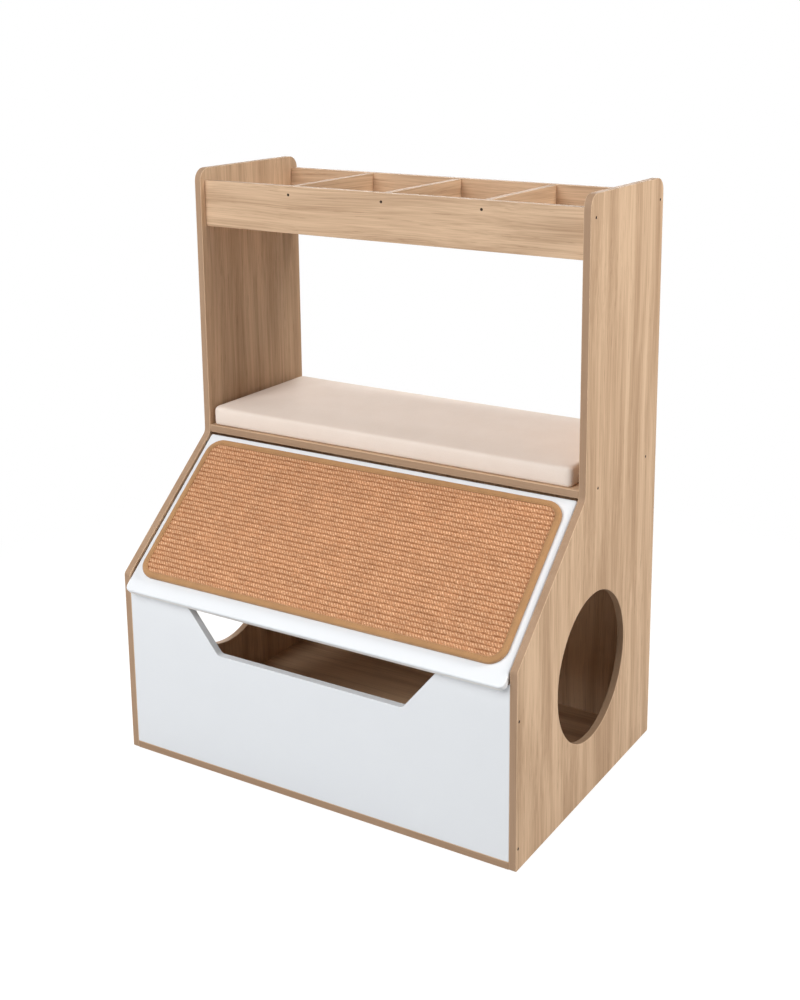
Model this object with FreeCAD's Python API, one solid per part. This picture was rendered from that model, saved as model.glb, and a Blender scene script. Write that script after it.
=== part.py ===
import FreeCAD, Part
import math
import os

from FreeCAD import Vector

# A flat-pack cat house cabinet in millimetres. +Z is up, +Y points to the back,
# and the origin is the centre of the footprint on the floor.

# Overall form of the side profile
cabinet_width = 720.0
cabinet_depth = 475.0
cabinet_height = 940.0
upper_depth = 265.0
slope_start_height = 305.0
slope_end_height = 490.0
panel_top_radius = 21.0
panel_foot_radius = 2.0
slope_foot_radius = 8.0
slope_head_radius = 15.0

# Board thicknesses and the small round that every board edge has
side_thickness = 12.0
base_thickness = 12.0
front_thickness = 12.0
back_thickness = 12.0
platform_thickness = 12.0
board_edge_round = 0.8
board_corner_share = 1.5
platform_rise = 1.0

# Round cat hole in each side panel
hole_diameter = 236.0
hole_setback = 245.0
hole_height = 213.0
hole_edge_round = 1.5

# Open notch in the front panel
notch_sill_width = 342.0
notch_sill_height = 205.0
notch_flare = 66.5
notch_corner_radius = 10.0
front_corner_radius = 2.0

# Sloping lid
lid_thickness = 12.0
lid_recess = 3.0
lid_side_gap = 2.0
lid_top_gap = 0.5
lid_overhang = 25.5
lid_lower_radius = 10.0
lid_upper_radius = 4.0
lid_edge_round = 2.5
lid_seat_gap = 0.3

# Lid pivots: a steel pin in each end of the lid, turning in a flanged bush
pivot_setback = 17.5
pin_radius = 3.0
pin_grip = 20.0
pin_reach = 7.0
pin_running_clearance = 0.05
bush_radius = 4.2
bush_flange_radius = 5.5
bush_depth = 8.5
pivot_side_play = 0.3

# Scratch mat and the tape that binds its edge
mat_side_margin = 12.0
mat_top_margin = 11.0
mat_bottom_margin = 28.0
mat_corner_radius = 28.0
mat_thickness = 6.0
binding_width = 10.0
binding_height = 7.0
binding_tape = 0.8
binding_edge_round = 2.0

# Seat cushion
cushion_left_gap = 4.0
cushion_right_gap = 13.0
cushion_front_setback = 0.8
cushion_back_setback = 6.0
cushion_edge_height = 32.0
cushion_crown = 7.0
cushion_corner_radius = 9.0
cushion_edge_inset = 3.0
cushion_seat_gap = 0.3
cushion_draw_in_share = 0.008
cushion_side_level_shares = [(0, 1), (0.12, 0.25), (0.5, 0), (0.88, 0.25), (1, 1)]
cushion_crown_level_shares = [(0.45, 0.07), (0.8, 0.18), (1, 0.36)]

# Top tray
tray_drop = 20.0
tray_height = 76.0
tray_thickness = 12.0
tray_floor_thickness = 12.0
tray_front_recess = 11.0
tray_back_recess = 6.0
divider_thickness = 12.0
divider_drop = 1.0
divider_count = 3

# Screws, with a hexagon socket in the head
screw_head_radius = 2.3
screw_head_length = 2.0
screw_shank_radius = 1.8
screw_length = 36.0
screw_socket_flats = 2.6
screw_socket_depth = 1.4
tray_screw_drop = 14.0
platform_screw_inset = 42.0
front_screw_low = 34.0
front_screw_high = 230.0
upright_screw_inset = 130.0

# Beech dowels that line the boards up with the side panels
dowel_radius = 3.0
dowel_length = 24.0
dowel_side_depth = 8.0
platform_dowel_inset = 88.0
base_dowel_inset = 130.0
tray_floor_dowel_inset = 50.0
upright_dowel_rise = 130.0

# Fit of fixed pieces in their holes, and how far a cutter passes a face
fixed_clearance = 0.02
cut_overrun = 5.0


# Places worked out from the sizes

slope_run = cabinet_depth - upper_depth
slope_rise = slope_end_height - slope_start_height
slope_length = math.hypot(slope_run, slope_rise)
slope_cos = slope_run / slope_length
slope_sin = slope_rise / slope_length

# The rounded lower edge of the lid reaches furthest forward, and the footprint is centred on it
lid_reach_along = (lid_overhang - lid_edge_round) * slope_cos
lid_reach_down = (lid_recess + lid_edge_round) * slope_sin
lid_reach = lid_edge_round + lid_reach_along - lid_reach_down
front_y = (lid_reach - cabinet_depth) / 2
back_y = front_y + cabinet_depth
upper_front_y = back_y - upper_depth

side_x = cabinet_width / 2
inner_x = side_x - side_thickness
lid_x = inner_x - lid_side_gap
lid_top = slope_length - lid_top_gap

platform_bottom = slope_end_height + platform_rise
platform_top = platform_bottom + platform_thickness
platform_middle = platform_bottom + platform_thickness / 2

tray_top = cabinet_height - tray_drop
tray_bottom = tray_top - tray_height
tray_floor_top = tray_bottom + tray_floor_thickness
tray_front_y = upper_front_y + tray_front_recess
tray_back_y = back_y - tray_back_recess
tray_inner_front = tray_front_y + tray_thickness
tray_inner_back = tray_back_y - tray_thickness

lid_underside_drop = (lid_recess + lid_thickness + lid_seat_gap) / slope_cos
front_top = slope_start_height - lid_underside_drop

slope_up = Vector(0, slope_cos, slope_sin)
slope_out = Vector(0, -slope_sin, slope_cos)
slope_foot = Vector(0, front_y, slope_start_height)


def slope_point(x, along, out):
    """A point on the sloping front: across, up the slope from its foot, and out of it."""
    return slope_foot + Vector(x, 0, 0) + slope_up * along + slope_out * out


# Shape helpers

def rounded_wire(corners, radii):
    """A closed wire through flat corners, each turned by a tangent arc of its own radius."""
    stretches = []
    for place, corner in enumerate(corners):
        before = corners[place - 1] - corner
        after = corners[(place + 1) % len(corners)] - corner
        before.normalize()
        after.normalize()
        inward = before + after
        inward.normalize()
        half_turn = before.getAngle(after) / 2
        setback = radii[place] / math.tan(half_turn)
        middle = corner + inward * (radii[place] / math.sin(half_turn) - radii[place])
        stretches.append((corner + before * setback, middle, corner + after * setback))
    edges = []
    for place, (start, middle, end) in enumerate(stretches):
        next_start = stretches[(place + 1) % len(stretches)][0]
        edges.append(Part.Arc(start, middle, end).toShape())
        edges.append(Part.LineSegment(end, next_start).toShape())
    return Part.Wire(edges)


def plate(wire, thickness):
    """A flat wire made solid by pushing it along a vector."""
    return Part.Face(wire).extrude(thickness)


def flat_edges(solid, direction):
    """The edges that lie across a direction, which are a plate's two rims."""
    chosen = []
    for edge in solid.Edges:
        ends = edge.ParameterRange
        run = [abs(edge.tangentAt(end).dot(direction)) for end in ends]
        if max(run) < math.sin(math.radians(1)):
            chosen.append(edge)
    return chosen


def rounded_rims(solid, direction, radius):
    """A plate with both its rims rounded."""
    return solid.makeFillet(radius, flat_edges(solid, direction))


def board(low, high):
    """A straight board between two corners, with its edges rounded."""
    size = high - low
    spans = [Vector(size.x, 0, 0), Vector(0, size.y, 0), Vector(0, 0, size.z)]
    thickness, across, along = sorted(spans, key=lambda span: span.Length)
    corners = [low, low + across, low + across + along, low + along]
    radii = [board_edge_round * board_corner_share] * len(corners)
    direction = Vector(thickness)
    direction.normalize()
    return rounded_rims(plate(rounded_wire(corners, radii), thickness), direction, board_edge_round)


def rod(start, direction, radius, length):
    """A round bar from a point along a direction."""
    return Part.makeCylinder(radius, length, start, direction)


def hexagon(start, direction, across_flats, depth):
    """A six-sided bar from a point along one of the three axes."""
    side = Vector(direction.z, direction.x, direction.y)
    corner_radius = across_flats / math.sqrt(3)
    corners = []
    for turn in range(6):
        spin = FreeCAD.Rotation(direction, turn * 360 / 6)
        corners.append(start + spin.multVec(side) * corner_radius)
    return plate(Part.makePolygon(corners + corners[:1]), direction * depth)


# Boards

def side_panel(sign):
    """One full-profile side panel with its cat hole."""
    outer = sign * side_x
    outline = [
        (front_y, 0, panel_foot_radius),
        (front_y, slope_start_height, slope_foot_radius),
        (upper_front_y, slope_end_height, slope_head_radius),
        (upper_front_y, cabinet_height, panel_top_radius),
        (back_y, cabinet_height, panel_top_radius),
        (back_y, 0, panel_foot_radius),
    ]
    corners = [Vector(outer, y, z) for y, z, radius in outline]
    radii = [radius for y, z, radius in outline]
    inward = Vector(-sign, 0, 0)
    panel = plate(rounded_wire(corners, radii), inward * side_thickness)
    panel = rounded_rims(panel, inward, board_edge_round)
    hole_centre = Vector(outer, front_y + hole_setback, hole_height)
    hole_radius = hole_diameter / 2
    length = side_thickness + 2 * cut_overrun
    panel = panel.cut(rod(hole_centre - inward * cut_overrun, inward, hole_radius, length))
    rims = [edge for edge in panel.Edges if is_circle(edge, hole_radius)]
    return panel.makeFillet(hole_edge_round, rims)


def is_circle(edge, radius):
    """Whether an edge is a round rim of one radius."""
    if not isinstance(edge.Curve, Part.Circle):
        return False
    return abs(edge.Curve.Radius - radius) < fixed_clearance


def front_panel():
    """The white front panel, open at the top in a notch with sloping sides."""
    notch_half = notch_sill_width / 2
    notch_top_half = notch_half + notch_flare
    outline = [
        (-inner_x, base_thickness, front_corner_radius),
        (inner_x, base_thickness, front_corner_radius),
        (inner_x, front_top, front_corner_radius),
        (notch_top_half, front_top, front_corner_radius),
        (notch_half, notch_sill_height, notch_corner_radius),
        (-notch_half, notch_sill_height, notch_corner_radius),
        (-notch_top_half, front_top, front_corner_radius),
        (-inner_x, front_top, front_corner_radius),
    ]
    corners = [Vector(x, front_y, z) for x, z, radius in outline]
    radii = [radius for x, z, radius in outline]
    backward = Vector(0, 1, 0)
    panel = plate(rounded_wire(corners, radii), backward * front_thickness)
    return rounded_rims(panel, backward, board_edge_round)


def cross_board(front, back, bottom, top):
    """A board that fits between the two side panels."""
    return board(Vector(-inner_x, front, bottom), Vector(inner_x, back, top))


def divider_places():
    """The middle of each tray divider, across the tray, with equal bays between them."""
    bay = (2 * inner_x - divider_count * divider_thickness) / (divider_count + 1)
    pitch = bay + divider_thickness
    return [-inner_x + pitch * (place + 1) - divider_thickness / 2 for place in range(divider_count)]


def tray_divider(middle):
    """One divider that stands on the tray floor, from the front board to the back board."""
    half = divider_thickness / 2
    low = Vector(middle - half, tray_inner_front, tray_floor_top)
    high = Vector(middle + half, tray_inner_back, tray_top - divider_drop)
    return board(low, high)


# Lid with its mat and pivots

def slope_outline(half_width, bottom, top, lower_radius, upper_radius, out):
    """A rounded rectangle that lies on the sloping front."""
    corners = [
        slope_point(-half_width, bottom, out),
        slope_point(half_width, bottom, out),
        slope_point(half_width, top, out),
        slope_point(-half_width, top, out),
    ]
    return rounded_wire(corners, [lower_radius, lower_radius, upper_radius, upper_radius])


def lid_panel():
    """The white lid, set a little below the sloping edges of the side panels."""
    outline = slope_outline(lid_x, -lid_overhang, lid_top, lid_lower_radius, lid_upper_radius, -lid_recess)
    return rounded_rims(plate(outline, slope_out * -lid_thickness), slope_out, lid_edge_round)


def mat_plate(inset, low, high):
    """A plate of the mat's outline, drawn in by an inset, between two heights over the lid."""
    radius = max(mat_corner_radius - inset, fixed_clearance)
    bottom = mat_bottom_margin - lid_overhang + inset
    top = lid_top - mat_top_margin - inset
    half_width = lid_x - mat_side_margin - inset
    outline = slope_outline(half_width, bottom, top, radius, radius, low - lid_recess)
    return plate(outline, slope_out * (high - low))


def scratch_mat():
    """The woven mat: a thick field, and a pressed edge that the binding tape folds round."""
    field = mat_plate(binding_width, 0, mat_thickness)
    pressed_edge = mat_plate(binding_tape, binding_tape, binding_height - binding_tape)
    inner_field = mat_plate(binding_width, 0, binding_height)
    return field.fuse(pressed_edge.cut(inner_field)).removeSplitter()


def mat_binding(mat):
    """The tape folded round the edge of the mat."""
    whole = mat_plate(0, 0, binding_height)
    top_point = slope_point(0, 0, binding_height - lid_recess)
    rim = [edge for edge in whole.Edges if lies_on(edge, top_point)]
    whole = whole.makeFillet(binding_edge_round, rim)
    return whole.cut(mat_plate(binding_width, -cut_overrun, binding_height + cut_overrun)).cut(mat)


def lies_on(edge, point):
    """Whether an edge lies in the plane through a point that runs along the sloping front."""
    spans = [abs((vertex.Point - point).dot(slope_out)) for vertex in edge.Vertexes]
    return max(spans) < fixed_clearance


def pivot_point(x):
    """A point on the lid's turning axis."""
    return slope_point(x, lid_top - pivot_setback, -lid_recess - lid_thickness / 2)


def lid_pivot_pin(sign):
    """A pin held in the end of the lid and reaching into the bush."""
    length = pin_grip + lid_side_gap + pin_reach
    return rod(pivot_point(sign * (lid_x - pin_grip)), Vector(sign, 0, 0), pin_radius, length)


def pin_hole(sign):
    """The hole in the lid that holds a pin."""
    start = pivot_point(sign * (lid_x - pin_grip - fixed_clearance))
    return rod(start, Vector(sign, 0, 0), pin_radius + fixed_clearance, pin_grip + cut_overrun)


def pivot_bush(sign):
    """A bush in the side panel, with a flange that keeps the lid off the panel."""
    outward = Vector(sign, 0, 0)
    flange_length = lid_side_gap - pivot_side_play
    face = pivot_point(sign * (inner_x - flange_length))
    flange = rod(face, outward, bush_flange_radius, flange_length)
    sleeve = rod(face, outward, bush_radius, flange_length + bush_depth)
    bore = rod(face, outward, pin_radius + pin_running_clearance, flange_length + pin_reach + pivot_side_play)
    return flange.fuse(sleeve).cut(bore).removeSplitter()


def bush_pocket(sign):
    """The blind hole in the side panel that holds a bush."""
    start = pivot_point(sign * (inner_x - cut_overrun))
    depth = cut_overrun + bush_depth + fixed_clearance
    return rod(start, Vector(sign, 0, 0), bush_radius + fixed_clearance, depth)


# Cushion

def cushion_section(inset, height):
    """One level of the cushion: four sides drawn in between round corners."""
    front = upper_front_y + cushion_front_setback + inset
    back = back_y - cushion_back_setback - inset
    left = cushion_left_gap + inset - inner_x
    right = inner_x - cushion_right_gap - inset
    radius = cushion_corner_radius
    corner_centres = [
        (Vector(right - radius, front + radius, height), Vector(0, -1, 0), Vector(1, 0, 0)),
        (Vector(right - radius, back - radius, height), Vector(1, 0, 0), Vector(0, 1, 0)),
        (Vector(left + radius, back - radius, height), Vector(0, 1, 0), Vector(-1, 0, 0)),
        (Vector(left + radius, front + radius, height), Vector(-1, 0, 0), Vector(0, -1, 0)),
    ]
    edges = []
    for place, (centre, first, second) in enumerate(corner_centres):
        diagonal = first + second
        diagonal.normalize()
        start = centre + first * radius
        end = centre + second * radius
        edges.append(Part.Arc(start, centre + diagonal * radius, end).toShape())
        next_centre, next_first, next_second = corner_centres[(place + 1) % len(corner_centres)]
        next_start = next_centre + next_first * radius
        draw_in = (next_start - end).Length * cushion_draw_in_share
        sag = (end + next_start) * 0.5 - second * draw_in
        edges.append(Part.Arc(end, sag, next_start).toShape())
    return Part.Wire(edges)


def seat_cushion():
    """A box cushion: a flat bottom, sides that swell a little, and a crowned top."""
    bottom = platform_top + cushion_seat_gap
    depth = upper_depth - cushion_front_setback - cushion_back_setback
    sections = []
    for height_share, inset_share in cushion_side_level_shares:
        height = bottom + cushion_edge_height * height_share
        sections.append(cushion_section(cushion_edge_inset * inset_share, height))
    for height_share, inset_share in cushion_crown_level_shares:
        height = bottom + cushion_edge_height + cushion_crown * height_share
        sections.append(cushion_section(cushion_edge_inset + depth * inset_share, height))
    return Part.makeLoft(sections, True, True)


# Screws and dowels

def screw(head, inward):
    """A screw with its head's face at a point, driven along a direction."""
    body = rod(head, inward, screw_head_radius, screw_head_length)
    body = body.fuse(rod(head, inward, screw_shank_radius, screw_length))
    return body.cut(hexagon(head, inward, screw_socket_flats, screw_socket_depth)).removeSplitter()


def screw_hole(head, inward):
    """The stepped hole that a screw sits in."""
    start = head - inward * cut_overrun
    wide_length = cut_overrun + screw_head_length + fixed_clearance
    long_length = cut_overrun + screw_length + fixed_clearance
    wide = rod(start, inward, screw_head_radius + fixed_clearance, wide_length)
    return wide.fuse(rod(start, inward, screw_shank_radius + fixed_clearance, long_length))


def dowel(seat, inward):
    """A dowel across the joint between a side panel's inner face and a board's end."""
    return rod(seat - inward * dowel_side_depth, inward, dowel_radius, dowel_length)


def dowel_hole(seat, inward):
    """The pair of blind holes that a dowel sits in."""
    start = seat - inward * (dowel_side_depth + fixed_clearance)
    return rod(start, inward, dowel_radius + fixed_clearance, dowel_length + 2 * fixed_clearance)


def side_screw_places():
    """The board that each screw through a side panel holds, with its depth and height."""
    front_middle = front_y + front_thickness / 2
    screw_height = tray_top - tray_screw_drop
    return [
        ("tray_front", tray_front_y + tray_thickness / 2, screw_height),
        ("tray_back", tray_back_y - tray_thickness / 2, screw_height),
        ("platform_panel", upper_front_y + platform_screw_inset, platform_middle),
        ("platform_panel", back_y - platform_screw_inset, platform_middle),
        ("front_panel", front_middle, front_screw_low),
        ("front_panel", front_middle, front_screw_high),
    ]


def side_dowel_places():
    """The board that each dowel in a side panel lines up, with its depth and height."""
    floor_middle = tray_bottom + tray_floor_thickness / 2
    base_middle = base_thickness / 2
    return [
        ("tray_floor", tray_inner_front + tray_floor_dowel_inset, floor_middle),
        ("tray_floor", tray_inner_back - tray_floor_dowel_inset, floor_middle),
        ("platform_panel", upper_front_y + platform_dowel_inset, platform_middle),
        ("platform_panel", back_y - platform_dowel_inset, platform_middle),
        ("base_panel", front_y + base_dowel_inset, base_middle),
        ("base_panel", back_y - base_dowel_inset, base_middle),
        ("front_panel", front_y + front_thickness / 2, upright_dowel_rise),
        ("back_panel", back_y - back_thickness / 2, upright_dowel_rise),
        ("back_panel", back_y - back_thickness / 2, platform_bottom - upright_dowel_rise),
    ]


# The whole cabinet

def fit_side_fasteners(nodes, sign, name):
    """Drills one side panel and the boards that meet it, and adds the screws and dowels."""
    inward = Vector(-sign, 0, 0)
    panel = name + "_side_panel"
    screws = []
    dowels = []
    for held, y, z in side_screw_places():
        head = Vector(sign * side_x, y, z)
        hole = screw_hole(head, inward)
        nodes[panel] = nodes[panel].cut(hole)
        nodes[held] = nodes[held].cut(hole)
        screws.append(screw(head, inward))
    for held, y, z in side_dowel_places():
        seat = Vector(sign * inner_x, y, z)
        hole = dowel_hole(seat, inward)
        nodes[panel] = nodes[panel].cut(hole)
        nodes[held] = nodes[held].cut(hole)
        dowels.append(dowel(seat, inward))
    nodes["side_screws_" + name] = Part.makeCompound(screws)
    nodes["dowels_" + name] = Part.makeCompound(dowels)


def fit_base_screws(nodes):
    """Drills the base from below and the upright boards that stand on it, and adds the screws."""
    upward = Vector(0, 0, 1)
    uprights = [
        ("front_panel", front_y + front_thickness / 2),
        ("back_panel", back_y - back_thickness / 2),
    ]
    screws = []
    for held, y in uprights:
        for sign in (-1, 1):
            head = Vector(sign * (inner_x - upright_screw_inset), y, 0)
            hole = screw_hole(head, upward)
            nodes["base_panel"] = nodes["base_panel"].cut(hole)
            nodes[held] = nodes[held].cut(hole)
            screws.append(screw(head, upward))
    nodes["base_screws"] = Part.makeCompound(screws)


def fit_tray_screws(nodes, held_by, y, inward):
    """Drills a tray board and the dividers that meet it, and adds the screws."""
    screws = []
    for place, middle in enumerate(divider_places()):
        divider = "tray_divider_" + str(place + 1)
        head = Vector(middle, y, tray_top - tray_screw_drop)
        hole = screw_hole(head, inward)
        nodes[held_by] = nodes[held_by].cut(hole)
        nodes[divider] = nodes[divider].cut(hole)
        screws.append(screw(head, inward))
    nodes[held_by + "_screws"] = Part.makeCompound(screws)


def build():
    """Every piece of the cabinet by its name."""
    nodes = {
        "base_panel": cross_board(front_y, back_y, 0, base_thickness),
        "front_panel": front_panel(),
        "back_panel": cross_board(back_y - back_thickness, back_y, base_thickness, platform_bottom),
        "platform_panel": cross_board(upper_front_y, back_y, platform_bottom, platform_top),
        "tray_front": cross_board(tray_front_y, tray_inner_front, tray_bottom, tray_top),
        "tray_back": cross_board(tray_inner_back, tray_back_y, tray_bottom, tray_top),
        "tray_floor": cross_board(tray_inner_front, tray_inner_back, tray_bottom, tray_floor_top),
        "lid_panel": lid_panel(),
        "scratch_mat": scratch_mat(),
        "seat_cushion": seat_cushion(),
    }
    nodes["mat_binding"] = mat_binding(nodes["scratch_mat"])
    for place, middle in enumerate(divider_places()):
        nodes["tray_divider_" + str(place + 1)] = tray_divider(middle)
    for name, sign in (("left", -1), ("right", 1)):
        nodes[name + "_side_panel"] = side_panel(sign).cut(bush_pocket(sign))
        nodes["lid_panel"] = nodes["lid_panel"].cut(pin_hole(sign))
        nodes["lid_pivot_pin_" + name] = lid_pivot_pin(sign)
        nodes["pivot_bush_" + name] = pivot_bush(sign)
        fit_side_fasteners(nodes, sign, name)
    fit_base_screws(nodes)
    fit_tray_screws(nodes, "tray_front", tray_front_y, Vector(0, 1, 0))
    fit_tray_screws(nodes, "tray_back", tray_back_y, Vector(0, -1, 0))
    return nodes


os.makedirs("parts", exist_ok=True)
for node, shape in build().items():
    shape.exportStep("parts/" + node + ".step")
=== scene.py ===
import math
import random

import bmesh
import bpy
from bpy.props import FloatProperty, FloatVectorProperty, IntProperty, PointerProperty
from mathutils import Matrix, Vector, noise


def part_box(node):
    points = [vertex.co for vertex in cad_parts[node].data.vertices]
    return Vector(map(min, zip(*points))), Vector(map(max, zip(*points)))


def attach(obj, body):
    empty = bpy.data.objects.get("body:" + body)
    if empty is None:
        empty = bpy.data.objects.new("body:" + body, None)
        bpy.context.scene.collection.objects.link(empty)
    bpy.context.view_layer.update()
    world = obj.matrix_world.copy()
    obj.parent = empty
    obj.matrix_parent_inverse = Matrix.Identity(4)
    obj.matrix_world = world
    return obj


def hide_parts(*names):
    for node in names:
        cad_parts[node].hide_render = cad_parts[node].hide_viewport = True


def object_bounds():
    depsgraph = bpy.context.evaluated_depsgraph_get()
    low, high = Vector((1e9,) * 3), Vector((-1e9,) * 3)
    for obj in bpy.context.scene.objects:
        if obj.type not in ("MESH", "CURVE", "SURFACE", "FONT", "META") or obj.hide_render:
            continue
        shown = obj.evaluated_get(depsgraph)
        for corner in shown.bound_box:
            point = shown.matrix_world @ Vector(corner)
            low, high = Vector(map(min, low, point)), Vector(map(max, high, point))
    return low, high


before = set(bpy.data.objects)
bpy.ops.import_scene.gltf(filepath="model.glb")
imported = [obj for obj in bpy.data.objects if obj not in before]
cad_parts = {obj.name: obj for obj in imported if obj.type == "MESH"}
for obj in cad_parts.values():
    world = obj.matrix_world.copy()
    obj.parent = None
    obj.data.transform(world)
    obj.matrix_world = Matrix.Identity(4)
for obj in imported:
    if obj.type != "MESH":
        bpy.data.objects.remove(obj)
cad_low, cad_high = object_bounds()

bl_info = {
    "name": "Cat House Cabinet",
    "version": (1, 0, 0),
    "blender": (4, 5, 0),
    "location": "3D View > Sidebar > Cat House",
    "description": "Dresses the cat house cabinet with its boards, scratch mat, cushion, hardware and stage",
    "category": "Object",
}

# The boards by the axis that their grain follows and the axis of their thickness
oak_boards = {
    "left_side_panel": ("Z", "X"),
    "right_side_panel": ("Z", "X"),
    "back_panel": ("Z", "Y"),
    "base_panel": ("X", "Z"),
    "platform_panel": ("X", "Z"),
    "tray_front": ("X", "Y"),
    "tray_back": ("X", "Y"),
    "tray_floor": ("X", "Z"),
    "tray_divider_1": ("Y", "X"),
    "tray_divider_2": ("Y", "X"),
    "tray_divider_3": ("Y", "X"),
}
screw_nodes = (
    "side_screws_left", "side_screws_right", "tray_front_screws", "tray_back_screws", "base_screws")
pin_nodes = ("lid_pivot_pin_left", "lid_pivot_pin_right")
bush_nodes = ("pivot_bush_left", "pivot_bush_right")
dowel_nodes = ("dowels_left", "dowels_right")

# The round of the boards' edges, and lines on the lid's lower end as spans up the slope or out of its face
board_round = 0.0008
lid_end = (0.0004, 0.0009)
band_edge = (-0.0034, -0.0029)
joint_foot = (-0.0034, -0.0028)
joint_head = (-0.0022, -0.0016)
# The last two place painted shade, warmed by light reflected from below, along the lid's bottom edge
bounce_end = (0.0024, 0.0028)
bounce_rise = (0.0012, 0.0018)

# The weave of the mat, in metres and in shares of a knot
mat_corner = 0.028
rib_step = 0.37  # how far each rib starts after the last
rib_lean = 1.2  # how far a strand leans across one rib
rib_fullness = 0.7  # the power that rounds the section of a rib
knot_depth = 0.28  # how much of a rib's rise its knots take
knot_cuts = 4  # grid steps along one knot
rib_cuts = 5  # grid steps across one rib
weave_seed = 7
grid_slack = 1e-4  # keeps a point on the line between two ribs in the upper one
press_span = (-0.004, 0.0015)  # where the tape presses the rim down
rim_height = 0.003
sole_height = 0.0003
knot_lift = 0.0004
uneven_height = 0.0005
uneven_scale = 30
uneven_slice = 3.1

# The tape's grid steps and ripple, and its stitches in metres and in shares of the tape and the pitch
long_cuts = 40
side_cuts = 26
corner_cuts = 10
weld_gap = 1e-5
ripple_height = 0.00022
ripple_scale = 55.0
ripple_span = (0.002, 0.006)
stitch_inset = 0.78
stitch_sink = 0.02
stitch_half = 0.36
stitch_round = (0.00034, 0.00028)

# The cushion: how far its short sides draw in, as a share of its long ones, and its corners, crown and cloth
short_draw = 0.4
pad_segments = 6
cloth_settings = {
    "quality": 6,
    "mass": 0.3,
    "tension_stiffness": 12.0,
    "compression_stiffness": 12.0,
    "shear_stiffness": 6.0,
    "bending_stiffness": 1.5,
    "use_pressure": True,
}

# Stage
image_size = (800, 1000)
film_width = 36.0
pure_white = (1.0, 1.0, 1.0)
cool_light = (0.98, 0.99, 1.0)
warm_light = (1.0, 0.985, 0.955)
sky_light = (0.97, 0.985, 1.0)
shadow_grey = (0.30, 0.30, 0.30)
shadow_glow = 0.83
shadow_reach = (0.5, 1.3)
floor_drop = 0.0006


# Settings

def number(name, words, default, **kind):
    """A number that a user can change and that is not below nothing."""
    return FloatProperty(name=name, description=words, default=default, min=0.0, **kind)


def length(name, words, default):
    """A size in metres."""
    return number(name, words, default, unit="LENGTH", precision=5)


def share(name, words, default):
    """A plain number from nothing to one."""
    return number(name, words, default, max=1.0, subtype="FACTOR")


def degrees(name, words, default):
    """A turn, given in degrees."""
    return number(name, words, math.radians(default), subtype="ANGLE")


def colour(name, words, default):
    """A colour that a user can change."""
    return FloatVectorProperty(name=name, description=words, default=default, size=3, min=0.0, max=1.0,
                               subtype="COLOR")


class CatHouseBoards(bpy.types.PropertyGroup):
    """The finish of the oak and white boards"""
    oak_light: colour("Oak light", "The pale streaks of the oak face", (0.716, 0.500, 0.326))
    oak_dark: colour("Oak dark", "The deep streaks of the oak face", (0.466, 0.300, 0.184))
    oak_pore: colour("Oak pores", "The short dark pores", (0.270, 0.150, 0.078))
    oak_edge: colour("Oak edge", "The banding on the edges of the oak boards", (0.448, 0.294, 0.190))
    # Painted highlight: a pale line along the rounded corners of the boards
    oak_arris: colour("Oak arris", "The thin pale line along a board's corner", (0.700, 0.490, 0.320))
    white_face: colour("White face", "The white boards", (0.840, 0.860, 0.885))
    white_shade: colour("White shade", "The cloudy tone in the white boards", (0.832, 0.852, 0.878))
    white_band: colour("White edge band", "The band on the lower end of the lid", (0.840, 0.815, 0.785))
    white_joint: colour("White edge joint", "The fine joint over that band", (0.660, 0.670, 0.690))
    # Painted shade warmed by light reflected from below, along the lid's bottom edge
    white_bare: colour("White bare line", "The bare line under that band", (0.600, 0.490, 0.400))


class CatHouseMat(bpy.types.PropertyGroup):
    """The woven scratch mat and its tape"""
    rib_pitch: length("Rib pitch", "From one rib of the weave to the next", 0.008)
    knot_pitch: length("Knot pitch", "From one knot to the next along a rib", 0.0049)
    rib_height: length("Rib height", "How far a rib stands over its valley", 0.0016)
    tape_overlap: length("Tape overlap", "How far the weave runs under the tape", 0.001)
    tape_width: length("Tape width", "The width of the tape on top of the mat", 0.010)
    stitch_pitch: length("Stitch pitch", "From one stitch of the tape to the next", 0.0048)
    sisal_body: colour("Sisal body", "The main tone of the weave", (0.620, 0.290, 0.138))
    # Painted light in the weave: a highlight on the knots' tops, and shade in the valleys
    sisal_light: colour("Sisal light", "The pale strands on top of the knots", (0.970, 0.640, 0.400))
    sisal_dark: colour("Sisal dark", "The valleys of the weave", (0.250, 0.085, 0.032))
    tape: colour("Tape", "The cotton tape round the mat", (0.500, 0.262, 0.108))
    thread: colour("Thread", "The thread that holds the tape", (0.400, 0.205, 0.085))


class CatHouseCushion(bpy.types.PropertyGroup):
    """The seat cushion"""
    seam_inset: length("Seam inset", "How far the seams lie inside the swollen sides", 0.0016)
    crown: length("Crown", "How far the top rises over its seams", 0.007)
    draw_in: length("Draw in", "How far the long sides pull in between the corners", 0.0010)
    corner_radius: length("Corner radius", "The round of the upright corners", 0.008)
    voxel: length("Voxel", "The grid that the pad is remeshed on", 0.0045)
    seam_width: length("Seam width", "The width of the groove along a seam", 0.0032)
    seam_depth: length("Seam depth", "The depth of the groove along a seam", 0.0008)
    pressure: number("Pressure", "How hard the filling presses out", 4.0)
    steps: IntProperty(name="Steps", description="Frames of the cloth simulation", default=20, min=1)
    fill: share("Fill", "From slack to tight", 0.8)
    fabric: colour("Fabric", "The brushed fabric", (0.928, 0.807, 0.713))
    # The deeper tone is also the base of the painted shade along the seams
    fabric_shade: colour("Fabric shade", "The deeper tone in the fabric", (0.863, 0.732, 0.630))


class CatHouseHardware(bpy.types.PropertyGroup):
    """Screws, pins, bushes and dowels"""
    screw: colour("Screw", "Bronzed steel screws", (0.060, 0.036, 0.022))
    pin: colour("Pin", "Turned steel pins", (0.56, 0.56, 0.57))
    bush: colour("Bush", "Moulded nylon bushes", (0.050, 0.045, 0.040))
    dowel: colour("Dowel", "Fluted beech dowels", (0.66, 0.50, 0.34))


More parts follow.
